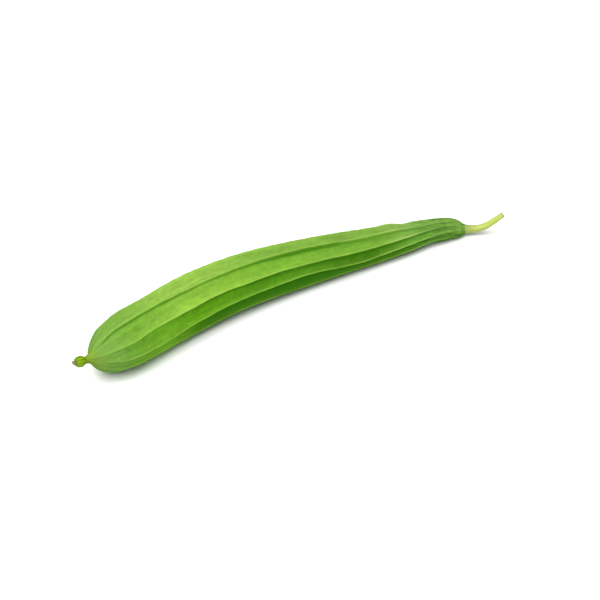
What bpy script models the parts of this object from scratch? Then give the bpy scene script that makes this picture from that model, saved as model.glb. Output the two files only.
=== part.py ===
"""A ridge gourd (angled luffa), as picked, lying on its side on the plane z = 0.

The fruit is a club with ten ridges, carried along one curved middle line that runs from
the beak at -X to the stalk scar at +X. A stalk leaves the scar and curls up. At the beak
sits the calyx cup, the green knob that the flower leaves behind, with its withered sepals
and the stub of the style. Pieces that touch keep GAP between them.
"""
import math

import bmesh
import bpy
import numpy as np

# Driving dimensions: metres and radians.
FRUIT_LENGTH = 0.354       # along the middle line, neck of the beak to stalk scar
BEAK_AT = (-0.1832, -0.0116)    # where the middle line starts, in plan
BEAK_HEADING = 0.25        # the middle line's angle off +X in the belly, in plan
BEND = 0.39                # how far it turns from there to the stalk, clockwise from above
BEND_AT = 0.355            # the share of the length where it bends most
BEND_REACH = 0.18          # how far to each side the bend spreads
NECK_TURN = -0.12          # a further turn in the neck of the beak...
NECK_TURN_OVER = (0, 0.05)
SCAR_TURN = 0.36           # ...and one just before the stalk
SCAR_TURN_OVER = (0.94, 1)
BEAK_RISE = 0.006          # how far the beak points up
BEAK_RISE_REACH = 0.05     # the share of the length over which that rise dies away
LEVEL_UNTIL = 0.20         # the middle line is level up to here, where the belly is fullest
SHOULDER_AT = 0.985        # and falls with the girth up to here

# Distance from the middle line to the ridge crests, at shares of the length.
GIRTH = ((0.000, 0.0028), (0.006, 0.0030), (0.014, 0.0046), (0.030, 0.0116), (0.048, 0.0163),
         (0.070, 0.0201), (0.120, 0.0225), (0.200, 0.0231), (0.290, 0.0237), (0.370, 0.0232),
         (0.450, 0.0223), (0.600, 0.0196), (0.750, 0.0159), (0.880, 0.0123), (0.955, 0.0099),
         (0.985, 0.0075), (1.000, 0.0041))
RIDGE_ANGLES = (30, -17, -52, -81, -121, -162, 162, 128, 96, 62)    # degrees from straight up; the
                           # two at 162 are the rails that the belly lies on
RIDGE_HEIGHT = 0.0016      # crest above the foot of the ridge
RIDGE_HALF_WIDTH = 0.0019  # crest to foot, along the skin
FOOT_REACH = 0.28          # the most of the way to the next ridge that a foot may take
FACET_BULGE = 0.30         # 0 is a flat facet between two ridges, 1 a round one
TWISTS = ((0.0, 4.0), (0.12, 4.0), (0.30, 0.0), (0.60, 0.0), (0.70, -3.5), (0.78, 3.0), (0.90, 13.0),
          (1.0, 15.0))    # degrees that all ridges turn together, at shares of the length
FADE_AT_BEAK = (0.015, 0.09)    # the ridges rise over these shares of the length...
FADE_AT_STALK = (1.00, 0.86)    # ...and die away over these

STALK_LENGTH = 0.035
STALK_RADIUS = ((0.0, 0.0040), (0.12, 0.0035), (0.33, 0.0030), (0.66, 0.0027), (1.0, 0.0024))
STALK_PITCH = (-0.08, 0.72)    # its slope at the scar and at the cut end
STALK_CURLED_BY = 0.75     # the share of its length over which it curls up
STALK_ANGLES = 5
STALK_FLUTE = 0.045

CUP_LENGTH = 0.0086
CUP_PROFILE = ((0.0, 0.0028), (0.10, 0.0031), (0.28, 0.0040), (0.52, 0.0044), (0.75, 0.0042),
               (0.90, 0.0034), (1.0, 0.0024))
CUP_LOBES = 10
CUP_LOBE_DEPTH = 0.05
SEPALS = 5
SEPAL_RING = 0.0017        # from the middle of the cup's end to a sepal
SEPAL_LENGTH = 0.0028
SEPAL_WIDTH = 0.0015
SEPAL_THICKNESS = 0.0006
SEPAL_SHAPE = ((0.0, 0.0, 1.0), (0.35, 0.0001, 0.95), (0.7, 0.0003, 0.7), (1.0, 0.0006, 0.35))
                           # at shares of the length: metres leaned in, share of the width
STYLE_LENGTH = 0.0026
STYLE_RADIUS = 0.0006
STYLE_SHAPE = ((0.0, 1.0), (0.5, 0.8), (0.85, 1.0), (1.0, 0.7))
GAP = 0.0003

# How finely the solids are cut.
LINE_STEPS = 700
FRUIT_RINGS = 60
RING_CROWDING = 0.11       # how much closer the rings stand at both ends
STALK_RINGS = 12
STALK_SIDES = 15
CUP_RINGS = 9
CUP_SIDES = 20
STYLE_SIDES = 8
SHARP_ANGLE = math.radians(50)

UP = np.array((0.0, 0.0, 1.0))


def along_table(table, share):
    """Read a (place, value) table with a smooth curve that doesn't overshoot its points."""
    places, values = np.array(table).T
    slopes = np.diff(values) / np.diff(places)
    joined = np.zeros(len(values))
    same_way = slopes[1:] * slopes[:-1] > 0
    harmonic = 2 * slopes[1:] * slopes[:-1] / np.where(same_way, slopes[1:] + slopes[:-1], 1)
    joined[1:-1] = np.where(same_way, harmonic, 0)
    joined[0], joined[-1] = slopes[0], slopes[-1]
    part = np.clip(np.searchsorted(places, share, side="right") - 1, 0, len(slopes) - 1)
    width = places[part + 1] - places[part]
    t = (share - places[part]) / width
    return ((1 + 2 * t) * (1 - t) ** 2 * values[part] + t * (1 - t) ** 2 * width * joined[part]
            + t * t * (3 - 2 * t) * values[part + 1] + t * t * (t - 1) * width * joined[part + 1])


def rise(share, limits):
    """A smooth step from 0 at the first limit to 1 at the second."""
    t = np.clip((share - limits[0]) / (limits[1] - limits[0]), 0, 1)
    return t * t * (3 - 2 * t)


def ridge_angles(share):
    """Where each ridge runs round the fruit, in radians from straight up, positive to +Y."""
    return np.radians(np.add.outer(along_table(TWISTS, share), RIDGE_ANGLES))


def middle_line(share):
    """Points of the fruit's middle line, and its heading in plan, at shares of its length.

    The heading falls by BEND along a smooth step, a tanh, with a small turn at each end. The
    height is what the lowest ridge needs to touch the floor, held level past the belly and
    past the shoulder.
    """
    fine = np.linspace(0, 1, LINE_STEPS + 1)
    heading = BEAK_HEADING - BEND * (1 + np.tanh((fine - BEND_AT) / BEND_REACH)) / 2
    heading += NECK_TURN * (1 - rise(fine, NECK_TURN_OVER)) - SCAR_TURN * rise(fine, SCAR_TURN_OVER)
    step = FRUIT_LENGTH * (fine[1] - fine[0])
    x = BEAK_AT[0] + np.append(0, np.cumsum((np.cos(heading[1:]) + np.cos(heading[:-1])) / 2)) * step
    y = BEAK_AT[1] + np.append(0, np.cumsum((np.sin(heading[1:]) + np.sin(heading[:-1])) / 2)) * step
    lying = np.clip(fine, LEVEL_UNTIL, SHOULDER_AT)
    reach = along_table(GIRTH, lying) * np.max(-np.cos(ridge_angles(lying)), axis=1)
    z = reach + BEAK_RISE * np.exp(-fine / BEAK_RISE_REACH)
    points = np.stack([np.interp(share, fine, values) for values in (x, y, z)], axis=-1)
    return points, np.interp(share, fine, heading)


def frames(points):
    """Unit vectors along a path, sideways to +Y and upwards, one set for each point."""
    forward = np.gradient(points, axis=0)
    forward /= np.linalg.norm(forward, axis=1, keepdims=True)
    sideways = np.cross(UP, forward)
    sideways /= np.linalg.norm(sideways, axis=1, keepdims=True)
    return forward, sideways, np.cross(forward, sideways)


def fruit_section(share):
    """Angles and radii round the fruit: crest, foot, middle of the facet and foot, ten times."""
    crest = float(along_table(GIRTH, np.array([share]))[0])
    height = RIDGE_HEIGHT * float(rise(share, FADE_AT_BEAK) * rise(share, FADE_AT_STALK))
    ridges = np.sort(ridge_angles(np.array([share]))[0])
    after = np.append(ridges[1:], ridges[0] + 2 * math.pi)
    foot = min(RIDGE_HALF_WIDTH / crest, FOOT_REACH * (after - ridges).min())
    valley = crest - height
    half = (after - ridges) / 2
    facet = valley * (FACET_BULGE + (1 - FACET_BULGE) * np.cos(half - foot))
    angles = np.stack([ridges, ridges + foot, ridges + half, after - foot], axis=1)
    radii = np.stack([np.full(10, crest), np.full(10, valley), facet, np.full(10, valley)], axis=1)
    return angles.ravel(), radii.ravel()


def ring(centre, sideways, upwards, angles, radii):
    """Points round a centre, at angles from upwards towards sideways."""
    across = np.outer(np.cos(angles) * radii, upwards) + np.outer(np.sin(angles) * radii, sideways)
    return centre + across


def loft(name, rings, material):
    """One closed solid through rings of equal count, with a flat face on each end."""
    mesh = bpy.data.meshes.new(name)
    form = bmesh.new()
    rows = [[form.verts.new(point) for point in points] for points in rings]
    count = len(rows[0])
    for near, far in zip(rows, rows[1:]):
        for i in range(count):
            j = (i + 1) % count
            form.faces.new((near[i], near[j], far[j], far[i]))
    form.faces.new(rows[0])
    form.faces.new(rows[-1])
    bmesh.ops.recalc_face_normals(form, faces=form.faces)
    form.to_mesh(mesh)
    form.free()
    mesh.shade_smooth()
    mesh.set_sharp_from_angle(angle=SHARP_ANGLE)
    mesh.materials.append(material)
    piece = bpy.data.objects.new(name, mesh)
    bpy.context.collection.objects.link(piece)
    return piece


def finish(name, colour, roughness):
    """A plain Principled material."""
    material = bpy.data.materials.new(name)
    material.use_nodes = True
    shader = material.node_tree.nodes["Principled BSDF"]
    shader.inputs["Base Color"].default_value = (*colour, 1)
    shader.inputs["Roughness"].default_value = roughness
    shader.inputs["Metallic"].default_value = 0
    return material


def make_fruit():
    """The ten-ridged body, from the neck of its beak to the flat stalk scar."""
    even = np.linspace(0, 1, FRUIT_RINGS)
    share = even - RING_CROWDING * np.sin(2 * math.pi * even)
    points, _ = middle_line(share)
    _, sideways, upwards = frames(points)
    rings = [ring(points[i], sideways[i], upwards[i], *fruit_section(share[i]))
             for i in range(FRUIT_RINGS)]
    return loft("fruit", rings, finish("gourd_skin", (0.24, 0.48, 0.08), 0.45))


def stalk_line(share):
    """Points of the stalk's middle line: out of the scar in the fruit's heading, curling up."""
    scar, heading = middle_line(np.array([1.0]))
    pitch = STALK_PITCH[0] + (STALK_PITCH[1] - STALK_PITCH[0]) * rise(share, (0, STALK_CURLED_BY))
    plan = np.array((math.cos(heading[0]), math.sin(heading[0]), 0.0))
    steps = np.outer(np.cos(pitch), plan) + np.outer(np.sin(pitch), UP)
    run = np.cumsum((steps[1:] + steps[:-1]) / 2 * np.diff(share)[:, None], axis=0) * STALK_LENGTH
    return scar[0] + plan * GAP + np.vstack([np.zeros(3), run])


def make_stalk():
    """A tapering, faintly five-sided stalk."""
    share = np.linspace(0, 1, STALK_RINGS)
    points = stalk_line(share)
    _, sideways, upwards = frames(points)
    upwards[0] = UP
    angles = np.arange(STALK_SIDES) * 2 * math.pi / STALK_SIDES
    flutes = 1 + STALK_FLUTE * np.cos(STALK_ANGLES * angles)
    radius = along_table(STALK_RADIUS, share)
    rings = [ring(points[i], sideways[i], upwards[i], angles, radius[i] * flutes)
             for i in range(STALK_RINGS)]
    return loft("stalk", rings, finish("stalk_skin", (0.50, 0.62, 0.12), 0.5))


def beak_frame():
    """The beak's end, and unit vectors out of it, sideways and upwards."""
    points, _ = middle_line(np.array([0.0, 0.01]))
    forward, sideways, upwards = frames(points)
    return points[0], -forward[0], sideways[0], upwards[0]


def make_cup():
    """The calyx cup: a small ten-lobed knob on the neck of the beak."""
    end, outward, sideways, upwards = beak_frame()
    angles = np.arange(CUP_SIDES) * 2 * math.pi / CUP_SIDES
    lobes = 1 + CUP_LOBE_DEPTH * np.cos(CUP_LOBES * angles)
    rings = []
    for t in np.linspace(0, 1, CUP_RINGS):
        radius = along_table(CUP_PROFILE, np.array([t]))[0]
        rings.append(ring(end + outward * (GAP + t * CUP_LENGTH), sideways, upwards, angles,
                          radius * lobes))
    return loft("calyx_cup", rings, finish("cup_skin", (0.22, 0.42, 0.04), 0.4))


def make_sepal(number, material):
    """One withered sepal: a short thin tongue that leans in over the end of the cup."""
    end, outward, sideways, upwards = beak_frame()
    angle = 2 * math.pi * number / SEPALS
    away = upwards * math.cos(angle) + sideways * math.sin(angle)
    across = sideways * math.cos(angle) - upwards * math.sin(angle)
    foot = end + outward * (2 * GAP + CUP_LENGTH) + away * SEPAL_RING
    rings = []
    for t, lean, width in SEPAL_SHAPE:
        middle = foot + outward * t * SEPAL_LENGTH - away * lean
        half = across * SEPAL_WIDTH / 2 * width
        thick = away * SEPAL_THICKNESS / 2
        rings.append([middle - half - thick, middle + half - thick, middle + half + thick,
                      middle - half + thick])
    return loft(f"dry_sepal_{number + 1}", rings, material)


def make_style():
    """The stub of the style, a thin peg between the sepals."""
    end, outward, sideways, upwards = beak_frame()
    angles = np.arange(STYLE_SIDES) * 2 * math.pi / STYLE_SIDES
    start = end + outward * (2 * GAP + CUP_LENGTH)
    rings = [ring(start + outward * STYLE_LENGTH * t, sideways, upwards, angles, STYLE_RADIUS * wide)
             for t, wide in STYLE_SHAPE]
    return loft("style_stub", rings, finish("dry_style", (0.12, 0.07, 0.03), 0.8))


def main():
    """Clear the scene and make every piece."""
    for thing in list(bpy.data.objects):
        bpy.data.objects.remove(thing)
    make_fruit()
    make_stalk()
    make_cup()
    dry = finish("dry_sepal", (0.16, 0.09, 0.04), 0.8)
    for number in range(SEPALS):
        make_sepal(number, dry)
    make_style()


main()
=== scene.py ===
# %% [markdown]
# # A ridge gourd, lying on its side
#
# A ridge gourd is a long green fruit of the squash family. It is a club with ten thin raised
# ridges, a curled stalk at the slim end, and at the blunt end a short neck with a green knob,
# which the flower left behind, and its withered sepals.
#
# The packed model gives every piece its place and size. Each piece here is a finer surface that
# stands for one of those solids, worked out from the same few dimensions.

# %% Load the packed gourd and note its size
import math

import bpy
import numpy as np
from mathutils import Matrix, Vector


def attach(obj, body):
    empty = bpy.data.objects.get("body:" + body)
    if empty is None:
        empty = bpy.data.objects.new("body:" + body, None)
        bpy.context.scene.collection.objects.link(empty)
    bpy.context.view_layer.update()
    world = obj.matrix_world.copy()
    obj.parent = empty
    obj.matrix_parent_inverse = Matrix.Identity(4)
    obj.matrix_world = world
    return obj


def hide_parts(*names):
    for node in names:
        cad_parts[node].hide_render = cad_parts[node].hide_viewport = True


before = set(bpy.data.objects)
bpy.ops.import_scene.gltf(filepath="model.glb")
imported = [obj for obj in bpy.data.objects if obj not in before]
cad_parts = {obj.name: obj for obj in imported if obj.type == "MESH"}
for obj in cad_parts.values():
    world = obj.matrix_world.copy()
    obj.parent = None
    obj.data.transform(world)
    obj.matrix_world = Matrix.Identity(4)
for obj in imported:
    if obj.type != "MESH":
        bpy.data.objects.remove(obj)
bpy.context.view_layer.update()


def in_mm(lengths):
    """Lengths in millimetres, to one decimal, for printing."""
    return [round(1000 * float(length), 1) for length in lengths]


print("solids:", ", ".join(sorted(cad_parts)))

# %% [markdown]
# ## The camera
#
# The camera stands to the left of the gourd and looks down on it, with a long lens, so that the
# near and the far end keep nearly the same scale. Two angles and a distance from a point on the
# floor say this better than a location and a rotation would.

# %% Camera
CAMERA_AZIMUTH = math.radians(-31.81)  # from straight in front, to the left
CAMERA_ELEVATION = math.radians(42.0)
CAMERA_DISTANCE = 1.487
CAMERA_LENS, CAMERA_SENSOR = 110.87, 36.0  # millimetres
CAMERA_SEES_TO = 50.0
AIM = Vector((0.0069, -0.0126, 0.0))  # the point on the floor in the middle of the view

away = Vector((math.sin(CAMERA_AZIMUTH) * math.cos(CAMERA_ELEVATION),
               -math.cos(CAMERA_AZIMUTH) * math.cos(CAMERA_ELEVATION),
               math.sin(CAMERA_ELEVATION)))
lens = bpy.data.cameras.new("camera")
lens.lens = CAMERA_LENS
lens.sensor_width = CAMERA_SENSOR
lens.clip_end = CAMERA_SEES_TO
camera = bpy.data.objects.new("camera", lens)
camera.location = AIM + away * CAMERA_DISTANCE
camera.rotation_euler = away.to_track_quat("Z", "Y").to_euler()
bpy.context.scene.collection.objects.link(camera)
bpy.context.scene.camera = camera
print("camera at", [round(v, 3) for v in camera.location])

# %% [markdown]
# ## Light
#
# Soft light from above makes the upper facets bright and lets the lower ones fall into shade,
# and it gives the floor a short, soft shadow. An area lamp could do this, but its light falls
# off over the floor. A sun with a wide disc lights the whole floor evenly and is just as soft.

# %% Light
SUN_STRENGTH = 5.3
SUN_DISC = 58  # degrees
SUN_FROM = Vector((-0.34, -0.22, 1.0))  # a little from the beak's end and from the front

sun = bpy.data.lights.new("overhead_light", "SUN")
sun.energy = SUN_STRENGTH
sun.angle = math.radians(SUN_DISC)
lamp = bpy.data.objects.new("overhead_light", sun)
lamp.rotation_euler = SUN_FROM.to_track_quat("Z", "Y").to_euler()
bpy.context.scene.collection.objects.link(lamp)
bpy.context.scene.view_settings.view_transform = "Standard"
print("a sun of strength", SUN_STRENGTH, "with a disc", SUN_DISC, "degrees wide")

# %% [markdown]
# ## Mixing finishes in Python
#
# A finish is a graph of shader nodes. Drawn by hand it soon becomes a knot, so here a small
# class wraps one output socket, and sums on such values add the Math nodes themselves. Every
# other node comes from one method: its type, then its settings, then what goes in. The few
# nodes that every finish needs have a short name of their own on top of it.


# %% The socket class
class Paint:
    """A value in a node tree. Sums with numbers or other values add Math nodes."""

    def __init__(self, tree, socket=None):
        self.tree, self.socket = tree, socket

    def node(self, kind, settings=None, inputs=None, output=0):
        """Add a node: settings first, then values or links for its inputs. Returns an output."""
        made = self.tree.nodes.new(kind)
        for key, value in (settings or {}).items():
            if key == "stops":
                ramp = made.color_ramp
                while len(ramp.elements) < len(value):
                    ramp.elements.new(1.0)
                for element, (position, colour) in zip(ramp.elements, value):
                    element.position = position
                    element.color = (*colour, 1.0)
            else:
                setattr(made, key, value)
        for key, value in (inputs or {}).items():
            if isinstance(value, Paint):
                self.tree.links.new(value.socket, made.inputs[key])
            else:
                made.inputs[key].default_value = value
        return Paint(self.tree, made.outputs[output] if made.outputs else None)

    def math(self, operation, first, second):
        """A Math node on two numbers or values."""
        return self.node("ShaderNodeMath", {"operation": operation}, {0: first, 1: second})

    def __add__(self, other):
        return self.math("ADD", self, other)

    def __radd__(self, other):
        return self.math("ADD", other, self)

    def __sub__(self, other):
        return self.math("SUBTRACT", self, other)

    def __rsub__(self, other):
        return self.math("SUBTRACT", other, self)

    def __mul__(self, other):
        return self.math("MULTIPLY", self, other)

    def __rmul__(self, other):
        return self.math("MULTIPLY", other, self)

    def step(self, low, high):
        """0 below low and 1 above high, smooth between; the other way round if low is above high."""
        smooth = {"interpolation_type": "SMOOTHSTEP"}
        up = self.node("ShaderNodeMapRange", smooth, {0: self, 1: min(low, high), 2: max(low, high)})
        return up if low < high else 1 - up

    def ramp(self, stops):
        """The colour that this value, from 0 to 1, picks from a row of (position, colour) stops."""
        return self.node("ShaderNodeValToRGB", {"stops": stops}, {0: self})

    def tint(self, colour, amount):
        """This colour with another laid over it, by an amount from 0 to 1."""
        second = colour if isinstance(colour, Paint) else (*colour, 1.0)
        return self.node("ShaderNodeMix", {"data_type": "RGBA"}, {0: amount, 6: self, 7: second},
                         output=2)

    def times(self, amount):
        """This colour made lighter or darker by a factor."""
        return self.node("ShaderNodeVectorMath", {"operation": "SCALE"}, {0: self, 3: amount})

    def spot(self):
        """The place of each point on its piece, in metres."""
        return self.node("ShaderNodeTexCoord", output="Object")

    def mark(self, name, output="Fac"):
        """A mark that the mesh carries, as a number, or as a place for the output "Vector"."""
        return self.node("ShaderNodeAttribute", {"attribute_name": name}, output=output)

    def drawn_out(self, factor):
        """This place with its third axis divided by a factor, so that patterns grow longer."""
        return self.node("ShaderNodeMapping", inputs={"Vector": self, "Scale": (1, 1, 1 / factor)})

    def noise(self, scale, detail, stretch=1, rough=0.5):
        """Soft noise round 0.5 over this place, stretched along its third axis by a factor."""
        where = self if stretch == 1 else self.drawn_out(stretch)
        return self.node("ShaderNodeTexNoise", inputs={
            "Vector": where, "Scale": scale, "Detail": detail, "Roughness": rough})

    def bump(self, strength, depth):
        """This value as a height over the surface, in units of a depth in metres."""
        return self.node("ShaderNodeBump", inputs={"Strength": strength, "Distance": depth, "Height": self})


def new_finish(name):
    """An empty material, and the Paint that adds its nodes."""
    material = bpy.data.materials.new(name)
    material.use_nodes = True
    material.node_tree.nodes.clear()
    return material, Paint(material.node_tree)


def close_finish(material, paint, inputs):
    """End a finish with a Principled shader, given its inputs, and count its nodes."""
    shader = paint.node("ShaderNodeBsdfPrincipled", inputs=inputs)
    paint.node("ShaderNodeOutputMaterial", inputs={"Surface": shader})
    print("finish", material.name, "has", len(material.node_tree.nodes), "nodes")
    return material


print("a Paint can", ", ".join(name for name in vars(Paint) if not name.startswith("_")))

# %% [markdown]
# ## World and floor
#
# The world is dim overhead, so that it doesn't wash the shade out, and white near the horizon,
# so that low views see a white backdrop. A backdrop could be a curved sheet, but it would throw
# light back at the gourd from one side only. The floor is a wide flat disc of matt white paper,
# with a grain that hardly shows.

# %% The world
SKY_STRENGTH, BACKDROP_STRENGTH = 0.20, 1.0
BACKDROP_FADE = (0.30, 0.17)  # the sines of the heights where it starts and is full

world = bpy.data.worlds.new("studio")
world.use_nodes = True
world.node_tree.nodes.clear()
air = Paint(world.node_tree)
direction = air.node("ShaderNodeTexCoord", output="Generated")
sine = air.node("ShaderNodeSeparateXYZ", inputs={0: direction}, output="Z")
strength = SKY_STRENGTH + sine.step(*BACKDROP_FADE) * (BACKDROP_STRENGTH - SKY_STRENGTH)
background = air.node("ShaderNodeBackground", inputs={"Color": (1, 1, 1, 1), "Strength": strength})
air.node("ShaderNodeOutputWorld", inputs={"Surface": background})
bpy.context.scene.world = world
print("sky of strength", SKY_STRENGTH, "and a backdrop of", BACKDROP_STRENGTH)

# %% The floor
FLOOR_RADIUS, FLOOR_SIDES = 12.0, 96
FLOOR_TONE, FLOOR_GRAIN = 0.84, 0.02  # how light the paper is, and how much its grain adds


def evenly_round(sides):
    """Angles of points evenly round a circle: 2 pi i / sides."""
    return np.arange(sides) * 2 * np.pi / sides


def paper_finish():
    """Matt white paper, a little lighter where a fine noise is high."""
    material, paint = new_finish("white_paper")
    grain = paint.spot().noise(900.0, 2.0)
    tone = grain.step(0.2, 0.8) * FLOOR_GRAIN + FLOOR_TONE
    colour = paint.node("ShaderNodeCombineXYZ", inputs={0: tone, 1: tone, 2: tone})
    return close_finish(material, paint, {"Base Color": colour, "Roughness": 0.9, "Specular IOR Level": 0.1})


def make_floor():
    """A flat disc on z = 0: the corners of a regular polygon round the origin."""
    turn = evenly_round(FLOOR_SIDES)
    corners = np.stack([np.cos(turn), np.sin(turn), 0 * turn], axis=1) * FLOOR_RADIUS
    mesh = bpy.data.meshes.new("floor")
    mesh.from_pydata(corners.tolist(), [], [list(range(FLOOR_SIDES))])
    mesh.materials.append(paper_finish())
    disc = bpy.data.objects.new("floor", mesh)
    bpy.context.scene.collection.objects.link(disc)
    return disc


floor = make_floor()
print("a floor of radius", FLOOR_RADIUS, "m")

# %% [markdown]
# ## The gourd's dimensions
#
# These are the dimensions of the packed solid: a middle line in plan, the girth along it, and
# where the ridges run. Everything is placed by a share of the length, 0 at the neck of the beak
# and 1 at the stalk scar, and by an angle round the middle line, 0 on top and positive to +Y.

# %% Dimensions of the fruit
FRUIT_LENGTH = 0.354
BEAK_AT = (-0.1832, -0.0116)
BEAK_HEADING = 0.25  # radians from +X towards +Y
BEND, BEND_AT, BEND_REACH = 0.39, 0.355, 0.18  # how far the heading falls, round which share
NECK_TURN, NECK_TURN_OVER = -0.12, (0, 0.05)
SCAR_TURN, SCAR_TURN_OVER = 0.36, (0.94, 1)
BEAK_RISE, BEAK_RISE_REACH = 0.006, 0.05  # how far the beak points up
LEVEL_UNTIL, SHOULDER_AT = 0.20, 0.985  # outside these shares the middle line stays level
GIRTH = (  # share of the length, radius over the crests
    (0.000, 0.0028), (0.006, 0.0030), (0.014, 0.0046), (0.030, 0.0116), (0.048, 0.0163),
    (0.070, 0.0201), (0.120, 0.0225), (0.200, 0.0231), (0.290, 0.0237), (0.370, 0.0232),
    (0.450, 0.0223), (0.600, 0.0196), (0.750, 0.0159), (0.880, 0.0123), (0.955, 0.0099),
    (0.985, 0.0075), (1.000, 0.0041))
RIDGE_ANGLES = (-162, -121, -81, -52, -17, 30, 62, 96, 128, 162)
TWISTS = (  # share, degrees by which all the ridges turn round the fruit
    (0.0, 4.0), (0.12, 4.0), (0.30, 0.0), (0.60, 0.0), (0.70, -3.5), (0.78, 3.0), (0.90, 13.0), (1.0, 15.0))
RIDGE_HEIGHT = 0.0016
FADE_AT_BEAK, FADE_AT_STALK = (0.015, 0.09), (1.00, 0.86)
FACET_BULGE = 0.30  # 0 for flat facets, 1 for round ones
print("a fruit", *in_mm([FRUIT_LENGTH]), "mm long, with", len(RIDGE_ANGLES), "ridges")

# %% [markdown]
# ## Curves to measure with
#
# A table of a few places and values is read with a cubic that never overshoots, so a girth read
# from it has no false bulges. The middle line is the running sum of its heading. A Bezier curve
# could carry both, but its handles would say less than these tables do.

# %% Curves
LINE_STEPS = 700


def along_table(table, share):
    """Hermite cubic through (place, value) points; each inner slope is the harmonic mean of its
    neighbours' and is 0 at a peak."""
    places, values = np.array(table, float).T
    slopes = np.diff(values) / np.diff(places)
    joined = np.zeros(len(values))
    same_way = slopes[1:] * slopes[:-1] > 0
    harmonic = 2 * slopes[1:] * slopes[:-1] / np.where(same_way, slopes[1:] + slopes[:-1], 1)
    joined[1:-1] = np.where(same_way, harmonic, 0)
    joined[0], joined[-1] = slopes[0], slopes[-1]
    part = np.clip(np.searchsorted(places, share, side="right") - 1, 0, len(slopes) - 1)
    width = places[part + 1] - places[part]
    t = (share - places[part]) / width
    return ((1 + 2 * t) * (1 - t) ** 2 * values[part] + t * (1 - t) ** 2 * width * joined[part]
            + t * t * (3 - 2 * t) * values[part + 1] + t * t * (t - 1) * width * joined[part + 1])


def rise(share, limits):
    """3t^2 - 2t^3, where t runs from 0 at the first limit to 1 at the second."""
    t = np.clip((share - limits[0]) / (limits[1] - limits[0]), 0, 1)
    return t * t * (3 - 2 * t)


def running_sum(slopes, step):
    """0, then the sum of the means of neighbouring slopes up to each place, times the step."""
    means = (slopes[1:] + slopes[:-1]) / 2
    return np.concatenate([0 * slopes[:1], np.cumsum(means, axis=0)]) * step


def middle_line(share):
    """Points and heading at shares of the length: x and y are running sums of the cosine and
    sine of the heading, and z is what the lowest ridge needs to touch the floor."""
    fine = np.linspace(0, 1, LINE_STEPS + 1)
    heading = BEAK_HEADING - BEND * (1 + np.tanh((fine - BEND_AT) / BEND_REACH)) / 2
    heading += NECK_TURN * (1 - rise(fine, NECK_TURN_OVER)) - SCAR_TURN * rise(fine, SCAR_TURN_OVER)
    x = BEAK_AT[0] + running_sum(np.cos(heading), FRUIT_LENGTH / LINE_STEPS)
    y = BEAK_AT[1] + running_sum(np.sin(heading), FRUIT_LENGTH / LINE_STEPS)
    lying = np.clip(fine, LEVEL_UNTIL, SHOULDER_AT)
    ridges = np.radians(np.add.outer(along_table(TWISTS, lying), RIDGE_ANGLES))
    z = along_table(GIRTH, lying) * np.max(-np.cos(ridges), axis=1)
    z += BEAK_RISE * np.exp(-fine / BEAK_RISE_REACH)
    points = np.stack([np.interp(share, fine, values) for values in (x, y, z)], axis=-1)
    return points, np.interp(share, fine, heading)


ends, _ = middle_line(np.array([0.0, 1.0]))
print("middle line from", in_mm(ends[0]), "to", in_mm(ends[1]), "mm")

# %% [markdown]
# ## Rings on a path
#
# Every piece is a tube: rings of points round a path. At each point of the path stand three unit
# vectors, along it, sideways and upwards, and a ring is drawn in the last two by angle and radius.
# The unevenness of a grown thing is a sum of cosine waves. A noise texture would be as uneven,
# but waves can be made to close on themselves round a ring.

# %% Frames, tubes and waves
UP = np.array((0.0, 0.0, 1.0))
USUAL_RADIUS = 0.020  # of the fruit, for what is counted or drawn round it


def frames(points):
    """Unit vectors along a path, sideways to +Y, and upwards = forward x sideways."""
    forward = np.gradient(points, axis=0)
    forward /= np.linalg.norm(forward, axis=1, keepdims=True)
    sideways = np.cross(UP, forward)
    sideways /= np.linalg.norm(sideways, axis=1, keepdims=True)
    return forward, sideways, np.cross(forward, sideways)


def tube_points(centres, angles, radii):
    """Centre + cos(angle) radius upwards + sin(angle) radius sideways, for a grid of angles."""
    _, sideways, upwards = frames(centres)
    return (centres[:, None] + (np.cos(angles) * radii)[..., None] * upwards[:, None]
            + (np.sin(angles) * radii)[..., None] * sideways[:, None])


def waves(seed, metres, angles, length, count=28):
    """Soft random relief of about unit height: a sum of cosine waves of about the given length,
    with whole numbers of waves round the fruit, so that it closes on itself."""
    draw = np.random.default_rng(seed)
    most = max(1, int(round(2 * math.pi * USUAL_RADIUS / length)))
    total = np.zeros(np.broadcast(metres, angles).shape)
    for _ in range(count):
        pitch = 2 * math.pi / (length * draw.uniform(0.8, 2.2))
        round_it = draw.integers(-most, most + 1)
        total += np.cos(pitch * metres + round_it * angles + draw.uniform(0, 2 * math.pi))
    return total / math.sqrt(count / 2)


path, _ = middle_line(np.linspace(0, 1, 50))
print("directions at the beak and the scar:", frames(path)[0][[0, -1]].round(2).tolist())


# %% A closed tube as a mesh
def with_poles(grid, sides):
    """A grid of values as a row for each point of a closed tube; a pole has its ring's mean."""
    poles = [grid[end].reshape(sides, -1).mean(0) for end in (0, -1)]
    return np.vstack([grid.reshape(grid.shape[0] * sides, -1), *poles])


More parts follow.
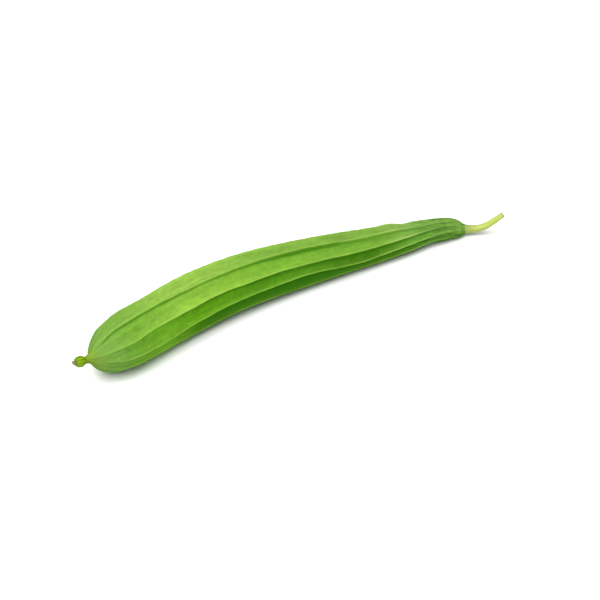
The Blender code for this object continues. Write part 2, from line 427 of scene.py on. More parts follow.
def closed_tube(name, rings, marks=None):
    """Mesh of a grid of points (rows along, columns round), with a pole at each end in the middle
    of its ring. Marks are values on the same grid, kept as attributes that a finish can read."""
    rows, sides = rings.shape[:2]
    here = np.arange(sides)
    after = np.roll(here, -1)
    row = np.arange(rows - 1)[:, None] * sides
    quads = np.stack([row + here, row + here + sides, row + after + sides, row + after], axis=-1)
    first, last, top = rows * sides, rows * sides + 1, (rows - 1) * sides
    first_cap = np.stack([np.full(sides, first), here, after], axis=1)
    last_cap = np.stack([np.full(sides, last), top + after, top + here], axis=1)
    faces = [*quads.reshape(-1, 4).tolist(), *first_cap.tolist(), *last_cap.tolist()]
    mesh = bpy.data.meshes.new(name)
    mesh.from_pydata(with_poles(rings, sides).tolist(), [], faces)
    mesh.validate()
    mesh.shade_smooth()
    for mark, grid in (marks or {}).items():
        values = with_poles(grid, sides)
        wide = values.shape[1] == 3
        layer = mesh.attributes.new(mark, "FLOAT_VECTOR" if wide else "FLOAT", "POINT")
        layer.data.foreach_set("vector" if wide else "value", values.astype(np.float32).ravel())
    piece = bpy.data.objects.new(name, mesh)
    bpy.context.scene.collection.objects.link(piece)
    return piece


def place(piece, slot, material, *nodes):
    """Give a piece its finish and its body, and let it stand for packed solids; the slot is not used."""
    piece.data.materials.append(material)
    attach(piece, "root")
    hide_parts(*nodes)
    print(piece.name, "has", len(piece.data.polygons), "faces, size in mm", in_mm(piece.dimensions))


# %% [markdown]
# ## The skin of the fruit
#
# The real skin is drawn tight between ten thin ridges. A subdivided cage could give this, but
# its ridges would wander off the cage lines. Here every ridge crest is a column of the grid, and
# the columns crowd towards it, so that a ridge of a millimetre stays crisp with few faces.
#
# On a real gourd no ridge runs quite evenly. The three that face the camera have a table of
# how far they stray, and the others stray by a small random wave, but for the two that the
# gourd lies on. One wave for all would keep them too much alike.

# %% The paths of the ridges
STRAYS = {  # degrees from a ridge's even place, at shares of the length
    -17: ((0, 9), (0.05, 9), (0.12, 5), (0.2, 5), (0.28, 2), (0.38, 2), (0.52, 5), (0.64, 5),
          (0.75, 2.5), (0.84, -2), (0.9, -8), (1, -8)),
    -52: ((0, -2), (0.05, -5), (0.10, -5), (0.165, -2), (0.245, -1.8), (0.34, 0), (0.43, -2),
          (0.5, 0), (0.6, -1), (0.7, -1), (0.76, -3), (0.83, -5), (0.91, 1), (1, 4)),
    -81: ((0, -2), (0.08, -10), (0.17, -13), (0.245, -7), (0.34, -3), (0.40, -2), (0.47, -1),
          (0.57, 2), (0.67, -5), (0.74, -8), (0.84, -7), (0.92, -3), (1, 0)),
}
RAILS = (-162, 162)  # the two ridges that the gourd lies on
STRAY, STRAY_LENGTH = 1.6, 0.08  # degrees and metres, for a ridge without a table
QUIVER, QUIVER_LENGTH = 0.15, 0.018  # a finer unsteadiness of every ridge


def ridge_paths(share):
    """The angle of each ridge: its even place, the common twist, and its own straying."""
    paths = np.add.outer(along_table(TWISTS, share), RIDGE_ANGLES)
    metres = share * FRUIT_LENGTH
    for number, ridge in enumerate(RIDGE_ANGLES):
        if ridge in STRAYS:
            paths[:, number] += along_table(STRAYS[ridge], share)
        elif ridge not in RAILS:
            paths[:, number] += STRAY * waves(40 + number, metres, 0.0, STRAY_LENGTH, 6)
        paths[:, number] += QUIVER * waves(60 + number, metres, 0.0, QUIVER_LENGTH, 8)
    return np.radians(paths)


print("ridges at half length:", np.degrees(ridge_paths(np.array([0.5]))[0]).round(1).tolist())

# %% The grid of the skin
RINGS = 600
COLUMNS = 16  # from one ridge to the next
ROW_CROWDING, COLUMN_CROWDING = 0.11, 0.105  # towards both ends, and towards a ridge

even = np.linspace(0, 1, RINGS)
share = even - ROW_CROWDING * np.sin(2 * math.pi * even)
row_share = share[:, None]
metres = row_share * FRUIT_LENGTH
girth = along_table(GIRTH, share)[:, None]

crests = ridge_paths(share)
following = np.hstack([crests[:, 1:], crests[:, :1] + 2 * math.pi])
across = np.arange(COLUMNS) / COLUMNS
across = across - COLUMN_CROWDING * np.sin(2 * math.pi * across)
angles = (crests[:, :, None] + (following - crests)[:, :, None] * across).reshape(RINGS, -1)
crest_before = np.repeat(crests, COLUMNS, axis=1)
crest_after = np.repeat(following, COLUMNS, axis=1)
print("skin of", angles.shape[0], "rings and", angles.shape[1], "columns")

# %% [markdown]
# ## Ridges, hollows and grooves
#
# The crest keeps the packed girth. Beside it the skin falls away on two bells, a narrow one for
# the ridge itself and a wide one for the hollow at its foot, and between two ridges it is nearly
# flat. A ridge leans: its upper flank is gentle and its lower one steep, with a groove along its
# foot that is deeper on some ridges than on others. Towards the beak the ridges are softer.
# A sculpted ridge would look as good, but here a width or a depth can still be changed.

# %% Bells and grooves
CREST_WIDTH, SKIRT_WIDTH = 0.0013, 0.0044
CREST_POWER, SKIRT_POWER = 1.3, 1.15
CROWN = math.radians(12)  # the highest line of the ribbed skin, a little to +Y
LEAN = 0.45  # how much narrower a ridge's lower flank is, and how much wider its upper one
GROOVE_AT, GROOVE_WIDTH, GROOVE_DEPTH = 0.0016, 0.0010, 0.0007


def below(distance, crest):
    """1 on the side of a ridge that faces away from the crown of the gourd, -1 on the other."""
    return np.tanh(6 * np.sin(crest - CROWN)) * np.sign(distance)


def ridge_bell(distance, crest, slimming, crest_share):
    """1 on the crest: a narrow and a wide bell, each exp(-(distance / width) ^ power). Both are
    wider on the side towards the top of the gourd, by LEAN, and narrower on the lower side."""
    width = slimming * (1 - LEAN * below(distance, crest))
    narrow = np.exp(-(np.abs(distance) / (CREST_WIDTH * width)) ** CREST_POWER)
    wide = np.exp(-(np.abs(distance) / (SKIRT_WIDTH * width)) ** SKIRT_POWER)
    return crest_share * narrow + (1 - crest_share) * wide


def groove(distance, crest, slimming):
    """1 in the middle of the groove that runs along a ridge on its lower side."""
    off = (np.abs(distance) - GROOVE_AT * slimming) / (GROOVE_WIDTH * slimming)
    return np.maximum(below(distance, crest), 0) * np.exp(-off ** 2)


samples = np.array([0.0, 0.001, 0.002, 0.004])
print("down from a crest, at", in_mm(samples), "mm:", ridge_bell(samples, 1.5, 1, 0.5).round(2).tolist())

# %% How near each point is to the ridges beside it
CREST_SHARE = 0.50  # of the ridge's height that the narrow bell holds
SOFT_CREST = 0.35  # of CREST_SHARE that is left at the beak
CRISP_FROM = (0.04, 0.28)  # where the ridges grow crisp
UPPER_SHARP = ((0, 1), (0.2, 0.9), (0.3, 0.6), (0.42, 0.75), (0.5, 1), (0.6, 1), (0.72, 0.3), (1, 0.3))
LOWER_SHARP = ((0, 0.05), (0.3, 0.3), (0.5, 0.6), (0.8, 0.6), (0.92, 0.3), (1, 0.3))
OTHERS_SHARP = ((0, 0.1), (0.3, 0.4), (1, 0.4))
SHARP = {-17: UPPER_SHARP, -52: LOWER_SHARP, -81: LOWER_SHARP}  # of the groove below a ridge, and of the painted shadow line along it
ON_THE_CREST = 1e-9  # radians, so that a crest has a side

past = np.maximum(angles - crest_before, ON_THE_CREST) * girth  # metres past the ridge before
short = np.minimum(angles - crest_after, -ON_THE_CREST) * girth  # and short of the next one
nearest = np.minimum(angles - crest_before, crest_after - angles) * girth


def from_both(curve, *details, weights=(1, 1)):
    """Sum of a curve of the distance from the ridge before and of that from the next one."""
    return (weights[0] * curve(past, crest_before, *details)
            + weights[1] * curve(short, crest_after, *details))


slimming = np.sqrt(np.minimum(girth / USUAL_RADIUS, 1))
crisp = rise(row_share, CRISP_FROM)
crest_share = CREST_SHARE * (SOFT_CREST + (1 - SOFT_CREST) * crisp)
bell = np.minimum(from_both(ridge_bell, slimming, crest_share), 1)
sharp = np.stack([along_table(SHARP.get(ridge, OTHERS_SHARP), share) for ridge in RIDGE_ANGLES], axis=1)
sharp_sides = (np.repeat(sharp, COLUMNS, axis=1), np.repeat(np.roll(sharp, -1, axis=1), COLUMNS, axis=1))
grooves = from_both(groove, slimming, weights=sharp_sides)
print("widest facet", *in_mm([2 * nearest.max()]), "mm, with a bell down to", bell.min().round(2))

# %% The radii over ridges and facets
CREST_BEADS, BEAD_LENGTH = 0.12, 0.007  # how much the crest's height varies, and how fast
SOFT_HEIGHT = 0.55  # of the ridge's height that is left at the beak
FLAT_FROM, FLAT_UNTIL = (0.008, 0.05), (0.93, 0.99)  # both ends are round
DRAWN_FROM = (0.01, 0.05)  # where the grooves begin

ridged = rise(row_share, FADE_AT_BEAK) * rise(row_share, FADE_AT_STALK)
drawn = rise(row_share, DRAWN_FROM) * rise(row_share, FADE_AT_STALK)
beads = CREST_BEADS * (0.5 + 0.5 * np.tanh(waves(5, metres, angles, BEAD_LENGTH)))
half = (crest_after - crest_before) / 2
chord = np.cos(half) / np.cos(angles - crest_before - half)
bulge = 1 - (1 - FACET_BULGE) * rise(row_share, FLAT_FROM) * (1 - rise(row_share, FLAT_UNTIL))
height = RIDGE_HEIGHT * ridged * (SOFT_HEIGHT + (1 - SOFT_HEIGHT) * crisp)
radii = girth * (bulge + (1 - bulge) * chord) - height * (1 - bell * (1 - beads))
radii -= GROOVE_DEPTH * drawn * grooves
print("radii from", *in_mm([radii.min()]), "to", *in_mm([radii.max()]), "mm")

# %% [markdown]
# ## Swells, ribs, puckers and swellings
#
# A grown skin is never even. Soft swells and dimples run over the facets, fine ribs rise near
# the stalk, puckers draw the skin together round the beak, and a few broad swellings and dents
# give the gourd its own outline. A bump map could carry the small ones, but it would leave the
# outline smooth, so all of them are in the radii.

# %% Swells, ribs and puckers
CREST_CALM = 0.8  # how much of the swells a crest leaves out
UNDULATION, UNDULATION_LENGTH = 0.00016, 0.016
DIMPLES, DIMPLE_LENGTH = 0.000035, 0.0045
UNDULATION_FROM, DIMPLES_FROM = (0.02, 0.08), (0.02, 0.06)
STEM_RIBS = (  # ribs on a facet, strength, how much they wander, over what length, seed
    (2, 1.0, 0.5, 0.05, 13), (5, 0.5, 1.5, 0.03, 14))
STEM_RIBS_TOP, STEM_RIB_DEPTH = 1.5, 0.00045
STEM_RIBS_FROM, STEM_RIBS_UNTIL = (0.78, 0.90), (0.975, 1)
PUCKERS, PUCKER_DEPTH = 21, 0.00028
PUCKER_WANDER, PUCKER_WANDER_LENGTH = 0.8, 0.03
PUCKER_MEAN, PUCKER_VARIES, PUCKER_VARIES_LENGTH = 0.6, 0.3, 0.012
PUCKERS_FROM, PUCKERS_UNTIL = (0.006, 0.022), (0.035, 0.085)

free = 1 - CREST_CALM * bell
radii += free * UNDULATION * waves(11, metres, angles, UNDULATION_LENGTH) * rise(row_share, UNDULATION_FROM)
radii += free * DIMPLES * waves(12, metres, angles, DIMPLE_LENGTH, 60) * rise(row_share, DIMPLES_FROM)

between = (angles - crest_before) / (crest_after - crest_before)
ribs = sum(strength * np.cos(2 * math.pi * count * between + wander * waves(seed, metres, angles, length))
           for count, strength, wander, length, seed in STEM_RIBS)
stem_zone = rise(row_share, STEM_RIBS_FROM) * (1 - rise(row_share, STEM_RIBS_UNTIL))
radii += STEM_RIB_DEPTH * stem_zone * (ribs - STEM_RIBS_TOP) / 2

pucker_zone = rise(row_share, PUCKERS_FROM) * (1 - rise(row_share, PUCKERS_UNTIL))
puckers = np.cos(PUCKERS * angles + PUCKER_WANDER * waves(15, metres, angles, PUCKER_WANDER_LENGTH))
pucker_depth = PUCKER_MEAN + PUCKER_VARIES * waves(16, metres, angles, PUCKER_VARIES_LENGTH)
radii += PUCKER_DEPTH * pucker_zone * (puckers - 1) * pucker_depth
print("with swells the radii go up to", *in_mm([radii.max()]), "mm")

# %% Swellings and the finished skin
SWELLINGS = (  # share, angle in degrees, reach along, reach round in degrees, metres
    (0.808, 25, 0.020, 40, 0.0009), (0.846, 25, 0.016, 40, -0.0010),
    (0.905, -125, 0.035, 50, -0.0020), (0.60, -30, 0.05, 30, 0.0003),
    (0.35, 60, 0.05, 40, 0.0002), (0.52, 110, 0.04, 40, -0.0004), (0.120, 42, 0.045, 42, 0.0010),
    (0.052, 45, 0.022, 50, -0.0006), (0.014, 10, 0.012, 60, 0.0015))
RESTING_HEIGHT = 0.00001
INSET = 0.0003  # at the top, so that the swells stay in the packed box


def swelling(share, angles, place_along, place_round, reach_along, reach_round, height):
    """height * exp(-(along / reach)^2 - (round / reach)^2), a soft bump or dent."""
    off = (angles - math.radians(place_round) + math.pi) % (2 * math.pi) - math.pi
    near = ((share - place_along) / reach_along) ** 2 + (off / math.radians(reach_round)) ** 2
    return height * np.exp(-near)


for bump in SWELLINGS:
    radii += swelling(row_share, angles, *bump)
radii -= INSET * (1 + np.cos(angles)) / 2

centres, _ = middle_line(share)
skin = tube_points(centres, angles, radii)
skin[..., 2] = np.maximum(skin[..., 2], RESTING_HEIGHT)  # where it lies, the crests are pressed flat
print("skin from", in_mm(skin.min((0, 1))), "to", in_mm(skin.max((0, 1))), "mm")

# %% [markdown]
# ## Marks that the finish follows
#
# The colours of the skin follow the ridges and run along the fruit. So the mesh carries marks:
# each point's place on a straightened gourd, how far along it is, how near it is to a crest and
# on which side of it, the painted shadow line below a ridge, the ribs, and how far up its facet
# faces, for painted light on the upper facets and painted shade on the lower ones. A painted image
# could hold this too, but it would have to be unwrapped, and its seam would show.

# %% Marks beside the ridges
CREST_LINE = 0.0007  # reach of the pale line on a crest: partly its own colour, partly a painted highlight
OFF_CREST = 0.0005  # how near to it the painted shade at its foot may come
# Painted shade on the lower side of a ridge and painted light on its upper side fade over these reaches
PAINTED_SHADE_REACH, PAINTED_LIGHT_REACH = 0.0045, 0.0040
# The painted shadow line below a ridge: where it lies, how wide it is, and how it spreads
LINE_AT, LINE_WIDTH = 0.0011, 0.0009
LINE_SPREAD, LINE_SPREADS_OVER = 0.9, (0.38, 0.55)


def painted_shadow_below(distance, crest, spread):
    """1 along the painted shadow line that runs below a ridge, spread wider by a factor."""
    off = (np.abs(distance) / spread - LINE_AT) / LINE_WIDTH
    return np.maximum(below(distance, crest), 0) * np.exp(-off ** 2)


def beside(distance, crest, reach, side):
    """exp(-distance / reach) on one side of a ridge, 1 for its lower and -1 for its upper side."""
    return np.maximum(side * below(distance, crest), 0) * np.exp(-np.abs(distance) / reach)


spread = 1 + LINE_SPREAD * rise(row_share, LINE_SPREADS_OVER)
off_crest = 1 - np.exp(-(nearest / OFF_CREST) ** 2)
gourd_marks = {
    "crest": np.exp(-(nearest / CREST_LINE) ** 2) * ridged,
    # painted light on the upper side of each ridge
    "above": from_both(beside, PAINTED_LIGHT_REACH, -1) * ridged,
    # painted shade on the lower side of each ridge
    "under": from_both(beside, PAINTED_SHADE_REACH, 1) * off_crest * ridged,
    # painted shadow line below each ridge
    "edge": from_both(painted_shadow_below, spread, weights=sharp_sides) * drawn,
}
print("means:", {name: float(grid.mean().round(2)) for name, grid in gourd_marks.items()})

# %% Marks for the side, the facet and the place
# Painted light and shade: between these angles a facet goes from the lit colours to the shaded ones
FACET_PAINTED_LIGHT, ROUND_PAINTED_LIGHT = (38, 76), (40, 100)  # degrees from the top, for a facet and without ridges
# Painted light on the facets nearest the top, and painted shade on those that face down
PAINTED_LIGHT_FACETS, PAINTED_SHADE_FACETS = (8, 32), (82, 104)


def towards_top(turn, limits):
    """1 where an angle is near the top and 0 where it is far down, between limits in degrees."""
    return 1 - rise(np.abs((turn + math.pi) % (2 * math.pi) - math.pi), np.radians(limits))


def straightened(radius, turn, metres):
    """Places on a straight round bar: radius cos(turn), radius sin(turn), metres along."""
    return np.stack(np.broadcast_arrays(radius * np.cos(turn), radius * np.sin(turn), metres), axis=-1)


facet = (crest_before + crest_after) / 2
# 1 where a facet faces up, for painted light; 0 where it faces down, for painted shade
facet_painted_lit = towards_top(facet, FACET_PAINTED_LIGHT)
gourd_marks |= {
    # painted light and shade: lit colours on the upper facets, shaded ones below; by angle where the ridges
    # fade
    "sunny": facet_painted_lit + (1 - ridged) * (towards_top(angles, ROUND_PAINTED_LIGHT) - facet_painted_lit),
    # painted light, paler on the facets nearest the top
    "pale": towards_top(facet, PAINTED_LIGHT_FACETS) * ridged,
    # painted shade, darker on the facets that face down
    "deep": (1 - towards_top(facet, PAINTED_SHADE_FACETS)) * ridged,
    "rib": stem_zone * ribs / STEM_RIBS_TOP,
    "along": np.broadcast_to(row_share, angles.shape),
    "straight": straightened(USUAL_RADIUS, angles, metres),
}
print("marks:", ", ".join(gourd_marks))

# %% [markdown]
# ## The finish of the skin
#
# Young ridge gourd skin is a satin, slightly waxy green: pale yellow-green on the belly,
# deeper green at the slim end, and dusted grey-green at the beak. On top of that the upper
# facets get painted light and the lower ones painted shade. The crests are pale lines, partly
# their own colour and partly a painted highlight, with painted light on their upper flanks and
# painted shade and a painted shadow line at their feet. Over that lie soft mottling, faint
# lengthwise veins and fine pale specks. A plain green with one noise looks like plastic, so each
# of these is a layer of its own.

# %% The skin's colours and patterns
# The skin's greens along the fruit, in a lit copy for the upper facets: painted light
PAINTED_LIT_SIDE_COLOURS = (
    (0.0, (0.15, 0.22, 0.020)), (0.03, (0.105, 0.22, 0.026)), (0.10, (0.108, 0.245, 0.023)),
    (0.22, (0.160, 0.314, 0.033)), (0.30, (0.170, 0.328, 0.032)), (0.50, (0.117, 0.263, 0.022)),
    (0.75, (0.100, 0.225, 0.022)), (0.90, (0.091, 0.210, 0.028)), (1.0, (0.13, 0.24, 0.040)))
# A darker copy of the greens for the lower facets: painted shade
PAINTED_SHADE_SIDE_COLOURS = (
    (0.0, (0.12, 0.20, 0.015)), (0.06, (0.081, 0.208, 0.020)), (0.18, (0.104, 0.270, 0.012)),
    (0.28, (0.060, 0.196, 0.001)), (0.45, (0.034, 0.140, 0.001)), (0.75, (0.026, 0.100, 0.001)),
    (0.86, (0.061, 0.192, 0.012)), (1.0, (0.070, 0.165, 0.022)))
# Painted light: laid on the top facets, and as a painted sheen near the stalk
PAINTED_LIGHT_COLOUR = (0.30, 0.40, 0.13)
# Pale crests, partly their own colour and partly a painted highlight, and painted light on the upper flanks
CREST_COLOUR, STEM_CREST_COLOUR = (0.25, 0.42, 0.060), (0.17, 0.31, 0.075)
# Painted shade: at the feet of the ridges, on the facets that face down and in the shadow lines
PAINTED_SHADE_COLOUR = (0.018, 0.106, 0.001)
SPECK_COLOUR, BLOOM_COLOUR = (0.28, 0.42, 0.07), (0.15, 0.24, 0.09)
SKIN_ROUGH = 0.55  # how much the fine detail of a pattern counts
PATTERNS = {  # scale, detail, stretch along the fruit
    "mottle": (85.0, 4.0, 2.2), "clouds": (330.0, 3.0, 1.6), "veins": (420.0, 2.0, 26.0),
    "fine_veins": (1100.0, 2.0, 34.0), "sparse": (160.0, 1.0, 1.0), "worn": (300.0, 2.0, 6.0),
    "dusty": (240.0, 4.0, 1.5), "grain": (1500.0, 3.0, 1.6)}
print("patterns:", ", ".join(PATTERNS))


# %% The skin's finish
def green_layers(paint, noises, far, stem):
    """The lit greens on the upper facets over the shaded greens on the lower ones, both by the place along:
    painted light and shade. Times 1 + the sum of the weighted patterns.
    """
    # painted light and shade: the lit greens over the shaded ones on the upper facets
    colour = far.ramp(PAINTED_SHADE_SIDE_COLOURS).tint(far.ramp(PAINTED_LIT_SIDE_COLOURS), paint.mark("sunny"))
    # painted light on the top facets
    colour = colour.tint(PAINTED_LIGHT_COLOUR, paint.mark("pale") * 0.13)
    light = 1.0 + (noises["mottle"] - 0.5) * (0.50 + stem * 0.7)
    light = light + (noises["clouds"] - 0.5) * (0.60 + stem * 1.1)
    light = light + (noises["veins"] - 0.5) * (0.55 + stem * 0.9)
    light = light + (noises["fine_veins"] - 0.5) * (0.35 + stem * 0.8)
    return colour.times(light + paint.mark("rib") * 0.17)


def ridge_layers(paint, colour, noises, far, stem):
    """Painted shade at the feet of the ridges, on the facets that face down and along the shadow line below a
    ridge, then the crests, pale partly in their own colour and partly as a painted highlight, with painted
    light on their upper flanks.
    """
    crest, above = paint.mark("crest"), paint.mark("above")
    # painted shade on the lower side of each ridge
    colour = colour.tint(PAINTED_SHADE_COLOUR, paint.mark("under") * far.step(0.03, 0.30) * 0.46)
    # painted shade on the facets that face down
    colour = colour.tint(PAINTED_SHADE_COLOUR, paint.mark("deep") * far.step(0.19, 0.34) * 0.85)
    # painted shadow line below a ridge
    colour = colour.tint(PAINTED_SHADE_COLOUR, paint.mark("edge") * 0.85)
    # the crest's own paleness with a painted highlight, in patches, and painted light on the upper flanks
    lit = crest * (0.17 + noises["worn"].step(0.25, 0.7) * 0.40) + above * 0.17
    colour = colour.tint(CREST_COLOUR, lit * (1 - stem))
    # at the stalk end, the same crest paleness and painted light in another green
    colour = colour.tint(STEM_CREST_COLOUR, lit * stem * 1.4)
    # a painted sheen on the crests and upper flanks of the upper facets near the stalk
    painted_sheen = far.step(0.76, 0.82) * far.step(0.89, 0.84)
    return colour.tint(PAINTED_LIGHT_COLOUR, (crest + above) * painted_sheen * paint.mark("sunny") * 0.30)


def gourd_finish():
    """Greens by place, with painted light and shade by side, then specks, ridges with painted light and
    shade, and bloom, over a relief of grain and veins.
    """
    material, paint = new_finish("gourd_skin")
    lying, far = paint.mark("straight", "Vector"), paint.mark("along")
    stem = far.step(0.80, 0.92)
    noises = {name: lying.noise(*numbers, SKIN_ROUGH) for name, numbers in PATTERNS.items()}
    colour = green_layers(paint, noises, far, stem)

    dots = paint.node("ShaderNodeTexVoronoi", {"feature": "F1"}, {
        "Vector": lying.drawn_out(1 / 0.6), "Scale": 420.0, "Randomness": 1.0})
    specks = dots.step(0.26, 0.12) * noises["sparse"].step(0.45, 0.65)
    colour = colour.tint(SPECK_COLOUR, specks * 0.35)
    colour = ridge_layers(paint, colour, noises, far, stem)
    bloom = far.step(0.12, 0.02) * (0.08 + 0.22 * noises["dusty"].step(0.3, 0.7)) * far.step(0.008, 0.02)
    colour = colour.tint(BLOOM_COLOUR, bloom)

    relief = noises["grain"] * 0.5 + noises["veins"] * (0.6 + stem * 2.0)
    relief = relief + noises["fine_veins"] * 0.4 + specks * 0.4
    return close_finish(material, paint, {
        "Base Color": colour, "Roughness": 0.48 + noises["mottle"] * 0.14 + bloom * 0.25,
        "Specular IOR Level": 0.005, "Normal": relief.bump(0.35, 0.00025)})


fruit = closed_tube("ribbed_fruit", skin, gourd_marks)
place(fruit, "gourd_skin", gourd_finish(), "fruit")

# %% [markdown]
# ## The stalk
#
# The stalk is a pale yellow-green stem, softly five-angled, that leaves the scar level and curls
# up. It was cut with a knife, so its far end is a flat face with a darker rim and a paler pith.
# A curve with a bevel would give the stem but no cut, so it is a profile carried along a path,
# whose last rows fold in over the cut.

# %% The path of the stalk
GAP = 0.0003  # between two pieces that would else touch
STALK_LENGTH = 0.035
TIP_TRIM = 0.0001  # a hair shorter than the packed stalk
STALK_PITCH, STALK_CURLED_BY = (-0.08, 0.72), 0.75  # radians at both ends; full by this share
STALK_STEPS = 400


def stalk_line(share):
    """The scar, then running sums of the direction, whose slope rises smoothly to its end."""
    scar, heading = middle_line(np.array([1.0]))
    fine = np.linspace(0, 1, STALK_STEPS + 1)
    pitch = STALK_PITCH[0] + (STALK_PITCH[1] - STALK_PITCH[0]) * rise(fine, (0, STALK_CURLED_BY))
    plan = np.array((math.cos(heading[0]), math.sin(heading[0]), 0.0))
    steps = np.outer(np.cos(pitch), plan) + np.outer(np.sin(pitch), UP)
    run = running_sum(steps, STALK_LENGTH / STALK_STEPS)
    inside = np.minimum(share, 0)[:, None] * STALK_LENGTH * steps[0]
    share = share * (1 - TIP_TRIM / STALK_LENGTH)
    on_line = np.stack([np.interp(share, fine, run[:, axis]) for axis in range(3)], axis=-1)
    return scar[0] + plan * GAP + on_line + inside


print("the stalk's end in mm:", in_mm(stalk_line(np.array([1.0]))[0]))

# %% The stem of the stalk
STALK_RADIUS = ((0.0, 0.0040), (0.12, 0.0035), (0.33, 0.0030), (0.66, 0.0027), (1.0, 0.0024))
STALK_ANGLES, STALK_FLUTE = 5, 0.045
STALK_GROOVES, STALK_GROOVE_DEPTH = 20, 0.010
STALK_UNEVEN, STALK_UNEVEN_LENGTH = 0.006, 0.006
ROUND_ROOT, ROUND_UNTIL = 0.6, 0.15  # how much less angled it is at the scar, up to a share
STALK_ROWS, STALK_SIDES = 110, 80
STALK_ROOT = 0.0012  # how far it reaches into the fruit

stalk_share = np.linspace(-STALK_ROOT / STALK_LENGTH, 1, STALK_ROWS)[:, None]
stalk_angles = evenly_round(STALK_SIDES)
stalk_centres = stalk_line(stalk_share[:, 0])
fluting = (STALK_FLUTE * np.cos(STALK_ANGLES * stalk_angles)
           + STALK_GROOVE_DEPTH * (np.cos(STALK_GROOVES * stalk_angles) - 1)
           + STALK_UNEVEN * waves(21, stalk_share * STALK_LENGTH, stalk_angles, STALK_UNEVEN_LENGTH))
fluting *= 1 - ROUND_ROOT * rise(stalk_share, (ROUND_UNTIL, 0.0))
stalk_radii = along_table(STALK_RADIUS, np.maximum(stalk_share, 0)) * (1 + fluting)
stem = tube_points(stalk_centres, stalk_angles, stalk_radii)
print("stem of", *stem.shape[:2], "points, radii up to", *in_mm([stalk_radii.max()]), "mm")

# %% The cut, and the marks of the stalk
CUT_ROWS, CUT_HOLLOW = 8, 0.00025
STALK_MEAN_RADIUS = 0.003

inward = 1 - (np.arange(1, CUT_ROWS + 1) / (CUT_ROWS + 1))[:, None, None]
cut_middle = stalk_centres[-1]
cut_forward = frames(stalk_centres)[0][-1]
cut_face = cut_middle + (stem[-1] - cut_middle) * inward - cut_forward * CUT_HOLLOW * (1 - inward ** 2)
stalk_far = np.vstack([stalk_share, np.ones((CUT_ROWS, 1))]) + 0 * stalk_angles
stalk_marks = {
    "along": stalk_far,
    "cut": np.vstack([0 * stalk_share, 1 - inward[..., 0]]) + 0 * stalk_angles,
    "straight": straightened(STALK_MEAN_RADIUS, stalk_angles, STALK_LENGTH * stalk_far),
}
print("the cut looks towards", cut_forward.round(2).tolist())

# %% The stalk's finish
STALK_COLOURS = (
    (0.0, (0.18, 0.25, 0.05)), (0.05, (0.22, 0.285, 0.050)), (0.15, (0.245, 0.30, 0.038)),
    (0.55, (0.305, 0.375, 0.052)), (1.0, (0.33, 0.39, 0.075)))
CUT_COLOURS = (
    (0.0, (0.19, 0.24, 0.05)), (0.25, (0.30, 0.36, 0.11)), (0.65, (0.37, 0.42, 0.18)),
    (1.0, (0.27, 0.28, 0.11)))


def stalk_finish():
    """Duller at the scar, yellow-green along, with lengthwise streaks and a paler cut."""
    material, paint = new_finish("stalk_skin")
    cut, lying = paint.mark("cut"), paint.mark("straight", "Vector")
    streaks = lying.noise(1600.0, 3.0, stretch=1 / 0.12)
    spots = lying.noise(500.0, 3.0)
    on_cut = cut.step(0.02, 0.08)
    colour = paint.mark("along").ramp(STALK_COLOURS).times(0.84 + streaks * 0.2 + spots * 0.12)
    colour = colour.tint(cut.ramp(CUT_COLOURS).times(0.8 + spots * 0.4), on_cut)
    return close_finish(material, paint, {
        "Base Color": colour, "Roughness": 0.42 + spots * 0.12 + on_cut * 0.2,
        "Specular IOR Level": 0.45, "Normal": (streaks * 0.8 + spots * 0.4).bump(0.3, 0.0002)})


stalk = closed_tube("curled_stalk", np.vstack([stem, cut_face]), stalk_marks)
place(stalk, "stalk_skin", stalk_finish(), "stalk")

# %% [markdown]
# ## The knob on the beak
#
# The knob is the base of the flower, still fleshy and green, with ten rounded lobes and narrow
# creases between them. It is a turned profile whose radius swells and falls with the angle. At
# its far end the rim rolls into a small hollow, where the dry sepals and the style are rooted.
# Ten squashed balls would give the lobes too, but their seams would be much too deep.

# %% The beak's end
CUP_LENGTH = 0.0086


def beak_frame():
    """The beak's end, and unit vectors out of it, sideways and upwards."""
    points, _ = middle_line(np.array([0.0, 0.01]))
    forward, side, upward = frames(points)
    return points[0], -forward[0], side[0], upward[0]


def around_beak(outward_by, radii, turn):
    """Points at a distance out of the beak's end, and at radii and angles round its axis."""
    end, outward, side, upward = beak_frame()
    return (end + np.multiply.outer(outward_by, outward)
            + np.multiply.outer(radii * np.cos(turn), upward) + np.multiply.outer(radii * np.sin(turn), side))


print("the beak points towards", beak_frame()[1].round(2).tolist())

# %% Shape of the knob
CUP_PROFILE = ((0.0, 0.0028), (0.10, 0.0031), (0.28, 0.0040), (0.52, 0.0044), (0.75, 0.0042),
               (0.90, 0.0034), (1.0, 0.0024))
CUP_LOBES, CUP_LOBE_DEPTH = 10, 0.035
CREASE_POWER, LOBE_POWER = 0.7, 0.6  # below 1: narrow creases, and lobes up to both ends
CUP_UNEVEN, CUP_UNEVEN_LENGTH = 0.02, 0.004
CUP_ROWS, CUP_SIDES = 70, 120
CUP_ROOT = 0.0008  # how far it reaches back over the neck
HOLLOW_ROWS, HOLLOW_DEPTH, HOLLOW_WIDTH = 14, 0.0010, 0.0011
RIM_ROLL, RIM_ROLLED_BY, HOLLOW_FROM = 0.0002, 1 / 1.6, 0.35

